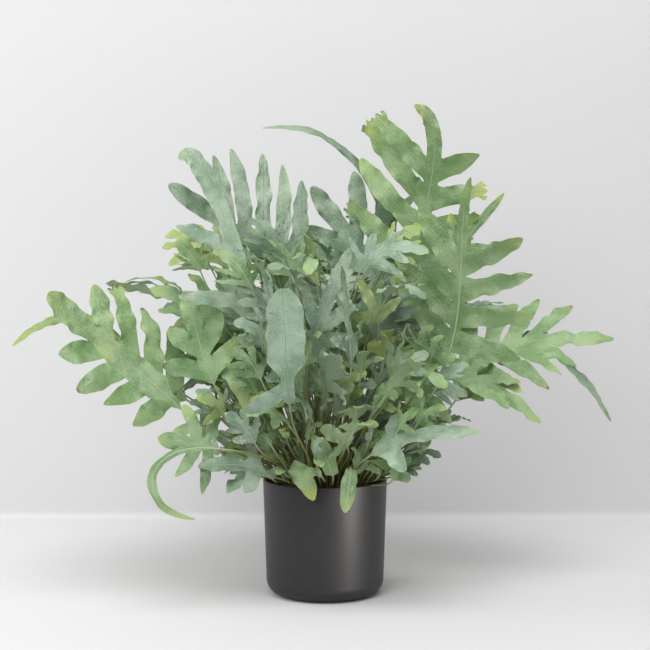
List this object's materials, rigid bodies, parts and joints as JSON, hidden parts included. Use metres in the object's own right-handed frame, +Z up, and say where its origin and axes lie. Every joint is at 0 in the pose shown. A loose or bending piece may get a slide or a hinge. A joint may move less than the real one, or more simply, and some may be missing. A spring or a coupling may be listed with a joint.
{
  "type": "potted fern",
  "caption": "Potted blue star fern: arching, deeply lobed blue-green fronds with wavy edges, rising on thin stalks from a dark cylindrical pot.",
  "frame": {"origin": "centre of the pot's flat underside", "axes": "+Z up, -Y towards the viewer of the picture, +X to that viewer's right"},
  "size_m": [0.7293, 0.4755, 0.5889],
  "materials": {
    "pot": "satin, fine grain",
    "soil": "rough, crumbly",
    "frond_blue": "soft waxy bloom",
    "frond_green": "soft satin",
    "frond_lime": "soft satin"
  },
  "bodies": {
    "root": {"pot": "pot", "soil": "soil", "frond_back_01": "frond_blue", "frond_back_02": "frond_green", "frond_back_03": "frond_blue", "frond_back_04": "frond_blue", "frond_back_05": "frond_green", "frond_back_06": "frond_blue", "frond_bib_01": "frond_green", "frond_bib_02": "frond_blue", "frond_bib_03": "frond_green", "frond_bib_04": "frond_blue", "frond_centre_lime": "frond_lime", "frond_centre_olive": "frond_lime", "frond_centre_ribbon": "frond_blue", "frond_centre_spear": "frond_blue", "frond_crown_01": "frond_blue", "frond_crown_02": "frond_green", "frond_crown_03": "frond_blue", "frond_crown_04": "frond_blue", "frond_crown_05": "frond_green", "frond_front_01": "frond_blue", "frond_front_02": "frond_green", "frond_front_03": "frond_blue", "frond_front_04": "frond_blue", "frond_front_05": "frond_green", "frond_front_green": "frond_green", "frond_front_olive": "frond_green", "frond_front_shield": "frond_blue", "frond_heart_01": "frond_blue", "frond_heart_02": "frond_green", "frond_heart_03": "frond_blue", "frond_heart_04": "frond_blue", "frond_left_arch": "frond_green", "frond_left_fan": "frond_green", "frond_left_far_whip": "frond_lime", "frond_left_front": "frond_green", "frond_left_middle": "frond_green", "frond_left_palm": "frond_green", "frond_left_whip": "frond_green", "frond_low_right": "frond_blue", "frond_right_curl": "frond_green", "frond_right_fan": "frond_green", "frond_right_low": "frond_green", "frond_right_reach": "frond_green", "frond_right_shade": "frond_green", "frond_right_small": "frond_green", "frond_right_whip": "frond_blue", "frond_rim_drop": "frond_green", "frond_rim_front": "frond_green", "frond_rim_left": "frond_blue", "frond_skirt_01": "frond_green", "frond_skirt_02": "frond_blue", "frond_top_fan": "frond_green", "frond_top_whip": "frond_blue", "frond_upper_left_fan": "frond_blue", "frond_upper_left_strap": "frond_blue", "frond_upper_middle": "frond_blue"}
  },
  "joints": []
}
